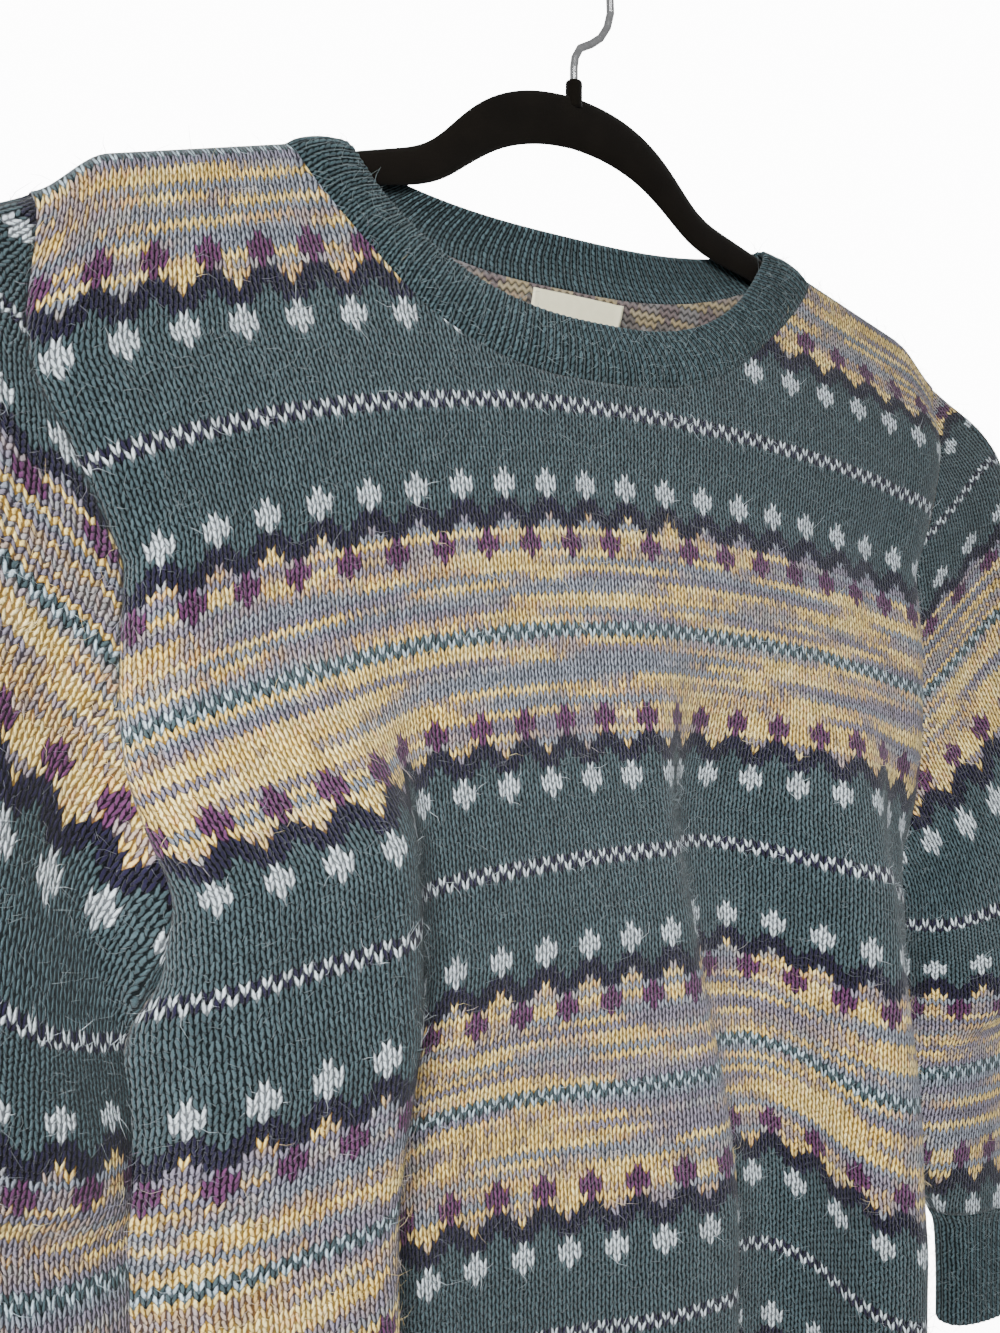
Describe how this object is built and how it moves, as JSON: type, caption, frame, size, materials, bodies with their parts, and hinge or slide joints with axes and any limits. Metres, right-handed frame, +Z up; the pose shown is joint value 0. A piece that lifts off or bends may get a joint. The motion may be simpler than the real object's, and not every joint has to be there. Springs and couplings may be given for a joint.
{
  "type": "fair isle jumper on a hanger",
  "caption": "Thick fair isle knit jumper with a ribbed crew neck, cuffs and hem, hanging in loose folds on a slim velvet hanger with a wire hook.",
  "frame": {"origin": "the inner side of the top of the hook, where it rests on its rail", "axes": "+Z up; -Y is the jumper's front; +X is the wearer's left"},
  "size_m": [0.7314, 0.1074, 0.8576],
  "materials": {
    "front": "fuzzy stranded knit in teal, navy, plum, beige and pale blue",
    "back": "fuzzy stranded knit in teal, navy, plum, beige and pale blue",
    "sleeve": "fuzzy stranded knit in teal, navy, plum, beige and pale blue",
    "rib": "fuzzy one-by-one rib in dark teal",
    "label": "plain woven cream tape",
    "velvet": "black flocked velvet",
    "wire": "polished wire"
  },
  "bodies": {
    "root": {"front": "front", "back": "back", "sleeve_right": "sleeve", "sleeve_left": "sleeve", "cuff_right": "rib", "cuff_left": "rib", "hem_rib": "rib", "neckband": "rib", "label": "label", "hanger": "velvet", "hook": "wire"}
  },
  "joints": []
}
